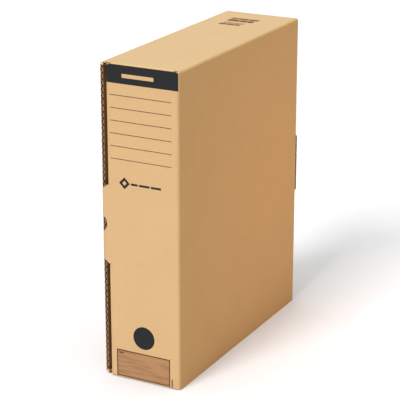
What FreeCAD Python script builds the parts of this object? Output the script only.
"""Archival box: a reverse-tuck carton of three-layer corrugated board.

One die-cut blank makes the whole box. Four wall panels form a sleeve that is open at the front and
the back. A closure panel shuts each end: it is hinged on a wall's upright edge, its tuck flap goes in
behind the opposite wall, and a short tongue in the closure's own plane covers that wall's cut edge.
Four dust flaps fold in behind the closures. Every panel has an outer liner, a fluted medium and an
inner liner, each a solid of its own, and all flutes run the same way in the flat blank.

Frame, in millimetres: +Z up, the spine (front closure) faces -Y, the wall that carries it is at +X,
and the origin is at the middle of the base.
"""
import FreeCAD, Part
import math
import os

# Overall size of the closed box
BOX_WIDTH = 87.0
BOX_DEPTH = 270.0
BOX_HEIGHT = 325.0

# Corrugated board
BOARD = 3.0
LINER = 0.25
MEDIUM = 0.2
FLUTE_PITCH = 6.4
FACETS_PER_FLUTE = 8

# Creases: outside rounding of the wall and closure folds, and of the tighter dust flap folds
FOLD_RADIUS = 3.0
DUST_FOLD_RADIUS = 1.6

# Closures
CLOSURE_CLEARANCE = 0.3
CLOSURE_END_GAP = 1.0
TUCK_DEPTH = 30.0
TUCK_GAP = 4.5
TUCK_END_GAP = 1.0
TUCK_TAPER = 10.0
TUCK_CORNER = 8.0

# Tongues in the closures' own plane
SPINE_TONGUE_HEIGHT = 74.0
SPINE_TONGUE_SETBACK = 2.5
BACK_TONGUE_HEIGHT = 62.0
BACK_TONGUE_SETBACK = 0.0
TONGUE_TAPER = 4.0
TONGUE_CORNER = 1.0
TONGUE_CUT = 0.5
THUMB_NOTCH_HEIGHT = 16.0
THUMB_NOTCH_DEPTH = 3.8

# Dust flaps
DUST_LENGTH = 38.0
DUST_SIDE_CLEARANCE = 0.7
DUST_TAPER = 4.0
DUST_CORNER = 6.0

# Glued joint
GLUE_FLAP_WIDTH = 32.0
GLUE_FLAP_TAPER = 10.0
GLUE_FLAP_CORNER = 2.0
GLUE_FLAP_GAP = 1.0

# Places worked out from the sizes above
WALL_X = BOX_WIDTH / 2
FRONT_Y = BOX_DEPTH / 2
INSIDE_X = WALL_X - BOARD
CLOSURE_INSIDE_Y = FRONT_Y - BOARD
SLEEVE_END_Y = CLOSURE_INSIDE_Y - CLOSURE_CLEARANCE
DUST_INSIDE_Y = SLEEVE_END_Y - BOARD
TUCK_OUTSIDE_X = INSIDE_X - TUCK_GAP
TUCK_INSIDE_X = TUCK_OUTSIDE_X - BOARD
CEILING_Z = BOX_HEIGHT - BOARD
MIDDLE_Z = BOX_HEIGHT / 2
DUST_TUCK_SIDE_X = TUCK_INSIDE_X - DUST_SIDE_CLEARANCE
DUST_HINGE_SIDE_X = INSIDE_X - BOARD - GLUE_FLAP_GAP
TUCK_END_Y = FRONT_Y - TUCK_DEPTH

X_AXIS = FreeCAD.Vector(1, 0, 0)
Y_AXIS = FreeCAD.Vector(0, 1, 0)
Z_AXIS = FreeCAD.Vector(0, 0, 1)
HALF_TURN = FreeCAD.Placement(FreeCAD.Vector(), FreeCAD.Rotation(Z_AXIS, 180))
RIGHT_ANGLE = 90.0
MITRE_ANGLE = 45.0
SPREAD = 10.0  # how far the flute prism runs past an outline before it is trimmed
SHORTEST_EDGE = 1e-6


def panel_frame(origin, along, across):
    """Placement of a panel: local X along the flutes, Y across them, Z from its inner to its outer face."""
    rotation = FreeCAD.Rotation(along, across, along.cross(across), "XYZ")
    return FreeCAD.Placement(origin, rotation)


def rounded_outline(corners):
    """Face in local XY from (x, y, radius) corners, with an arc at each corner that has a radius."""
    wire_edges = []
    starts = []
    ends = []
    count = len(corners)
    points = [FreeCAD.Vector(x, y, 0) for x, y, _ in corners]
    for index, (_, _, radius) in enumerate(corners):
        corner = points[index]
        back = (points[index - 1] - corner).normalize()
        ahead = (points[(index + 1) % count] - corner).normalize()
        half = back.getAngle(ahead) / 2
        run = radius / math.tan(half)
        starts.append(corner + back * run)
        ends.append(corner + ahead * run)
        if radius > 0:
            inward = (back + ahead).normalize()
            middle = corner + inward * (radius / math.sin(half) - radius)
            wire_edges.append((index, Part.Arc(starts[index], middle, ends[index]).toShape()))
    arcs = dict(wire_edges)
    edges = []
    for index in range(count):
        if index in arcs:
            edges.append(arcs[index])
        edges.append(Part.LineSegment(ends[index], starts[(index + 1) % count]).toShape())
    return Part.Face(Part.Wire(edges))


def rectangle(x_low, y_low, x_high, y_high):
    """Rectangular outline in local XY."""
    return rounded_outline([(x_low, y_low, 0), (x_high, y_low, 0), (x_high, y_high, 0), (x_low, y_high, 0)])


def slab(outline, low, high):
    """Outline thickened from one height in the board to another."""
    face = outline.copy()
    face.translate(Z_AXIS * low)
    return face.extrude(Z_AXIS * (high - low))


def flutes(outline):
    """Fluted medium under an outline, with flat crowns glued to both liners."""
    box = outline.BoundBox
    core_low = LINER
    core_high = BOARD - LINER
    swing = (core_high - core_low - MEDIUM) / 2 / math.cos(math.pi / FACETS_PER_FLUTE)
    middle = (core_low + core_high) / 2
    step = FLUTE_PITCH / FACETS_PER_FLUTE
    first = math.floor(box.YMin / FLUTE_PITCH) * FACETS_PER_FLUTE - FACETS_PER_FLUTE
    last = math.ceil(box.YMax / FLUTE_PITCH) * FACETS_PER_FLUTE + FACETS_PER_FLUTE
    wave = []
    for number in range(first, last + 1):
        angle = 2 * math.pi * (number + 0.5) / FACETS_PER_FLUTE
        wave.append(((number + 0.5) * step, middle + swing * math.cos(angle)))
    x_start = box.XMin - SPREAD
    top = [FreeCAD.Vector(x_start, y, z + MEDIUM / 2) for y, z in wave]
    bottom = [FreeCAD.Vector(x_start, y, z - MEDIUM / 2) for y, z in reversed(wave)]
    ribbon = Part.Face(Part.makePolygon(top + bottom + top[:1]))
    prism = ribbon.extrude(X_AXIS * (box.XLength + 2 * SPREAD))
    return prism.common(slab(outline, 0, BOARD))


def fold_strip(length, angle, radius):
    """Outer liner around a crease: local X runs off the panel's edge, Y along the crease, Z outwards.

    X = 0 is the inner corner line. An angle of 45 degrees stops at the mitre between two panels, and
    one of 90 degrees goes all the way round, down to the plane of the panel's inner face. A fold can't
    be rounder than the board is thick, because it starts at the inner corner line.
    """
    radius = min(radius, BOARD)
    bend = BOARD - radius
    turn = math.radians(angle)

    def around(distance, fraction):
        share = turn * fraction
        return FreeCAD.Vector(bend + distance * math.sin(share), 0, bend + distance * math.cos(share))

    outside = Part.Arc(around(radius, 0), around(radius, 0.5), around(radius, 1)).toShape()
    inner_radius = radius - LINER
    inside = Part.Arc(around(inner_radius, 1), around(inner_radius, 0.5), around(inner_radius, 0)).toShape()
    outer_path = [FreeCAD.Vector(0, 0, BOARD), around(radius, 0)]
    end_path = [around(radius, 1), around(inner_radius, 1)]
    inner_path = [around(inner_radius, 0), FreeCAD.Vector(0, 0, BOARD - LINER)]
    if angle == RIGHT_ANGLE:
        end_path[1:1] = [FreeCAD.Vector(BOARD, 0, 0), FreeCAD.Vector(BOARD - LINER, 0, 0)]
    edges = straight_edges(outer_path) + [outside] + straight_edges(end_path) + [inside]
    edges += straight_edges(inner_path + outer_path[:1])
    section = Part.Face(Part.Wire(edges))
    return section.extrude(Y_AXIS * length)


def straight_edges(path):
    """Line edges through the points, leaving out runs of no length."""
    pairs = [(a, b) for a, b in zip(path, path[1:]) if a.distanceToPoint(b) > SHORTEST_EDGE]
    return [Part.LineSegment(a, b).toShape() for a, b in pairs]


def edge_fold(side, position, low, high, angle, radius=FOLD_RADIUS):
    """Fold strip on one side of a panel. position is the inner corner line, low to high its span."""
    turns = {"+x": 0, "+y": 90, "-x": 180, "-y": -90}
    bases = {
        "+x": FreeCAD.Vector(position, low, 0),
        "+y": FreeCAD.Vector(high, position, 0),
        "-x": FreeCAD.Vector(position, high, 0),
        "-y": FreeCAD.Vector(low, position, 0),
    }
    strip = fold_strip(high - low, angle, radius)
    strip.Placement = FreeCAD.Placement(bases[side], FreeCAD.Rotation(Z_AXIS, turns[side]))
    return strip


def board_panel(name, frame, outline, folds=(), turned=False):
    """Three layers of one panel, in the box's frame, as a dictionary of node names to solids."""
    outer = slab(outline, BOARD - LINER, BOARD)
    if folds:
        outer = outer.fuse(list(folds)).removeSplitter()
    layers = {
        name + "_outer_liner": outer,
        name + "_flutes": flutes(outline),
        name + "_inner_liner": slab(outline, 0, LINER),
    }
    for node, shape in layers.items():
        placed = shape.copy()
        placed.Placement = frame.multiply(placed.Placement)
        if turned:
            placed.Placement = HALF_TURN.multiply(placed.Placement)
        layers[node] = placed.Solids[0] if len(placed.Solids) == 1 else placed
    return layers


def side_walls():
    """Right and left walls. Each carries a closure on one upright edge; the right one ends at the joint."""
    frame_right = panel_frame(FreeCAD.Vector(INSIDE_X, 0, 0), Y_AXIS, Z_AXIS)
    closure_span = (CLOSURE_END_GAP, BOX_HEIGHT - CLOSURE_END_GAP)
    right = board_panel(
        "right_wall",
        frame_right,
        rectangle(-CLOSURE_INSIDE_Y, 0, SLEEVE_END_Y, CEILING_Z),
        [
            edge_fold("-x", -CLOSURE_INSIDE_Y, *closure_span, MITRE_ANGLE),
            edge_fold("+y", CEILING_Z, -CLOSURE_INSIDE_Y, SLEEVE_END_Y, MITRE_ANGLE),
        ],
    )
    left = board_panel(
        "left_wall",
        frame_right,
        rectangle(-CLOSURE_INSIDE_Y, BOARD, SLEEVE_END_Y, CEILING_Z),
        [
            edge_fold("-x", -CLOSURE_INSIDE_Y, *closure_span, MITRE_ANGLE),
            edge_fold("+y", CEILING_Z, -CLOSURE_INSIDE_Y, SLEEVE_END_Y, MITRE_ANGLE),
            edge_fold("-y", BOARD, -CLOSURE_INSIDE_Y, SLEEVE_END_Y, MITRE_ANGLE),
        ],
        turned=True,
    )
    return {**right, **left}


def flat_wall_outline(left_end, right_end):
    """Top or base outline in local (Y, X) terms: cut back to the dust creases over each flap's root.

    Local X is the box's Y and local Y is the box's X, measured from left_end to right_end.
    """
    front_root = (-DUST_TUCK_SIDE_X, DUST_HINGE_SIDE_X)
    back_root = (-DUST_HINGE_SIDE_X, DUST_TUCK_SIDE_X)
    return rounded_outline(
        [
            (-SLEEVE_END_Y, left_end, 0),
            (-SLEEVE_END_Y, front_root[0], 0),
            (-DUST_INSIDE_Y, front_root[0], 0),
            (-DUST_INSIDE_Y, front_root[1], 0),
            (-SLEEVE_END_Y, front_root[1], 0),
            (-SLEEVE_END_Y, right_end, 0),
            (SLEEVE_END_Y, right_end, 0),
            (SLEEVE_END_Y, back_root[1], 0),
            (DUST_INSIDE_Y, back_root[1], 0),
            (DUST_INSIDE_Y, back_root[0], 0),
            (SLEEVE_END_Y, back_root[0], 0),
            (SLEEVE_END_Y, left_end, 0),
        ]
    )


def dust_folds():
    """Creases that carry the dust flaps, at both ends of the top or the base."""
    front = edge_fold(
        "-x", -DUST_INSIDE_Y, -DUST_TUCK_SIDE_X, DUST_HINGE_SIDE_X, RIGHT_ANGLE, DUST_FOLD_RADIUS
    )
    back = edge_fold(
        "+x", DUST_INSIDE_Y, -DUST_HINGE_SIDE_X, DUST_TUCK_SIDE_X, RIGHT_ANGLE, DUST_FOLD_RADIUS
    )
    return [front, back]


def mirrored(shapes):
    """Shapes mirrored across the local X axis, because the top is seen from the other side of the board."""
    return [shape.mirror(FreeCAD.Vector(), Y_AXIS) for shape in shapes]


def top_and_base():
    """Top and base panels, with a crease for a dust flap at each end."""
    ends = (-SLEEVE_END_Y, SLEEVE_END_Y)
    top_frame = panel_frame(FreeCAD.Vector(0, 0, CEILING_Z), Y_AXIS, -X_AXIS)
    top_shapes = mirrored([flat_wall_outline(-INSIDE_X, INSIDE_X), *dust_folds()])
    top_sides = [
        edge_fold("+y", INSIDE_X, *ends, MITRE_ANGLE),
        edge_fold("-y", -INSIDE_X, *ends, MITRE_ANGLE),
    ]
    top = board_panel("top_wall", top_frame, top_shapes[0], top_shapes[1:] + top_sides)
    joint_x = INSIDE_X - BOARD
    base_frame = panel_frame(FreeCAD.Vector(0, 0, BOARD), Y_AXIS, X_AXIS)
    base_sides = [
        edge_fold("+y", joint_x, *ends, MITRE_ANGLE),
        edge_fold("-y", -INSIDE_X, *ends, MITRE_ANGLE),
    ]
    base = board_panel(
        "base_wall", base_frame, flat_wall_outline(-INSIDE_X, joint_x), dust_folds() + base_sides
    )
    return {**top, **base}


def glue_flap():
    """Flap on the base's right edge, glued to the right wall's inner face, clear of the back tuck flap."""
    front = -DUST_INSIDE_Y + GLUE_FLAP_GAP
    back = TUCK_END_Y - GLUE_FLAP_GAP
    tip = BOARD + GLUE_FLAP_WIDTH
    outline = rounded_outline(
        [
            (front, BOARD, 0),
            (back, BOARD, 0),
            (back - GLUE_FLAP_TAPER, tip, GLUE_FLAP_CORNER),
            (front + GLUE_FLAP_TAPER, tip, GLUE_FLAP_CORNER),
        ]
    )
    frame = panel_frame(FreeCAD.Vector(INSIDE_X - BOARD, 0, 0), Y_AXIS, Z_AXIS)
    return board_panel("glue_flap", frame, outline, [edge_fold("-y", BOARD, front, back, MITRE_ANGLE)])


def tongue_corners(height, setback):
    """Outline corners of a tongue, from its upper root to its lower root, without the notch.

    The height is the tip's. Past the crease's outer plane the ends slant in towards the tip, which
    stops short of the opposite wall's outer face by the setback.
    """
    lower = MIDDLE_Z - height / 2
    upper = MIDDLE_Z + height / 2
    tip = -WALL_X + setback
    return [
        (-TUCK_INSIDE_X, upper + TONGUE_TAPER, 0),
        (-TUCK_OUTSIDE_X, upper + TONGUE_TAPER, 0),
        (tip, upper, TONGUE_CORNER),
        (tip, lower, TONGUE_CORNER),
        (-TUCK_OUTSIDE_X, lower - TONGUE_TAPER, 0),
        (-TUCK_INSIDE_X, lower - TONGUE_TAPER, 0),
    ]


def thumb_notch(setback):
    """Cutter for the half-round thumb notch in the spine tongue's free edge."""
    half = THUMB_NOTCH_HEIGHT / 2
    radius = (half**2 + THUMB_NOTCH_DEPTH**2) / (2 * THUMB_NOTCH_DEPTH)
    centre = FreeCAD.Vector(-WALL_X + setback + THUMB_NOTCH_DEPTH - radius, MIDDLE_Z, 0)
    return Part.Face(Part.Wire(Part.Circle(centre, Z_AXIS, radius).toShape()))


def closure(panel_name, tuck_name, tongue_height, tongue_setback, notch, turned):
    """Closure panel with its tongue, and the tuck flap that folds in behind the opposite wall."""
    low = CLOSURE_END_GAP
    high = BOX_HEIGHT - CLOSURE_END_GAP
    frame = panel_frame(FreeCAD.Vector(0, -CLOSURE_INSIDE_Y, 0), X_AXIS, Z_AXIS)
    corners = [(INSIDE_X, low, 0), (INSIDE_X, high, 0), (-TUCK_INSIDE_X, high, 0)]
    corners += tongue_corners(tongue_height, tongue_setback)
    corners.append((-TUCK_INSIDE_X, low, 0))
    outline = rounded_outline(corners)
    if notch:
        outline = outline.cut(thumb_notch(tongue_setback)).Faces[0]
    tongue_low = MIDDLE_Z - tongue_height / 2 - TONGUE_TAPER - TONGUE_CUT
    tongue_high = MIDDLE_Z + tongue_height / 2 + TONGUE_TAPER + TONGUE_CUT
    tuck_low = BOARD + TUCK_END_GAP
    tuck_high = CEILING_Z - TUCK_END_GAP
    folds = [
        edge_fold("+x", INSIDE_X, low, high, MITRE_ANGLE),
        edge_fold("-x", -TUCK_INSIDE_X, low, tongue_low, RIGHT_ANGLE),
        edge_fold("-x", -TUCK_INSIDE_X, tongue_high, high, RIGHT_ANGLE),
    ]
    panel = board_panel(panel_name, frame, outline, folds, turned)

    crease = CLOSURE_INSIDE_Y
    bite = crease - (TUCK_GAP - tongue_setback) - TONGUE_CUT
    tuck_outline = rounded_outline(
        [
            (crease, tuck_low, 0),
            (crease, tongue_low, 0),
            (bite, tongue_low, 0),
            (bite, tongue_high, 0),
            (crease, tongue_high, 0),
            (crease, tuck_high, 0),
            (TUCK_END_Y, tuck_high - TUCK_TAPER, TUCK_CORNER),
            (TUCK_END_Y, tuck_low + TUCK_TAPER, TUCK_CORNER),
        ]
    )
    tuck_frame = panel_frame(FreeCAD.Vector(-TUCK_INSIDE_X, 0, 0), -Y_AXIS, Z_AXIS)
    tuck = board_panel(tuck_name, tuck_frame, tuck_outline, (), turned)
    return {**panel, **tuck}


def dust_flap_outline(root, left_end, right_end):
    """Dust flap outline: local X up to the crease at root, local Y across the box."""
    tip = root - DUST_LENGTH
    return rounded_outline(
        [
            (root, left_end, 0),
            (root, right_end, 0),
            (tip, right_end - DUST_TAPER, DUST_CORNER),
            (tip, left_end + DUST_TAPER, DUST_CORNER),
        ]
    )


def dust_flaps():
    """Top and base dust flaps at the front, and the same pair turned half round for the back."""
    panels = {}
    for end, turned in (("front", False), ("back", True)):
        upper_outline = dust_flap_outline(CEILING_Z, -DUST_HINGE_SIDE_X, DUST_TUCK_SIDE_X)
        upper_frame = panel_frame(FreeCAD.Vector(0, -DUST_INSIDE_Y, 0), Z_AXIS, -X_AXIS)
        panels.update(board_panel(end + "_upper_dust_flap", upper_frame, upper_outline, (), turned))
        lower_outline = dust_flap_outline(-BOARD, -DUST_TUCK_SIDE_X, DUST_HINGE_SIDE_X)
        lower_frame = panel_frame(FreeCAD.Vector(0, -DUST_INSIDE_Y, 0), -Z_AXIS, X_AXIS)
        panels.update(board_panel(end + "_lower_dust_flap", lower_frame, lower_outline, (), turned))
    return panels


def build():
    """Every node of the box, by name."""
    nodes = {}
    nodes.update(side_walls())
    nodes.update(top_and_base())
    nodes.update(glue_flap())
    spine_tongue = (SPINE_TONGUE_HEIGHT, SPINE_TONGUE_SETBACK)
    back_tongue = (BACK_TONGUE_HEIGHT, BACK_TONGUE_SETBACK)
    nodes.update(closure("spine_panel", "spine_tuck_flap", *spine_tongue, notch=True, turned=False))
    nodes.update(closure("back_panel", "back_tuck_flap", *back_tongue, notch=False, turned=True))
    nodes.update(dust_flaps())
    return nodes


def main():
    """Export each node as a STEP file named after it, and print its size as a check."""
    os.makedirs("parts", exist_ok=True)
    for node, shape in build().items():
        shape.exportStep("parts/" + node + ".step")
        print(f"{node:36s} solids {len(shape.Solids)} volume {shape.Volume:9.1f} valid {shape.isValid()}")


main()
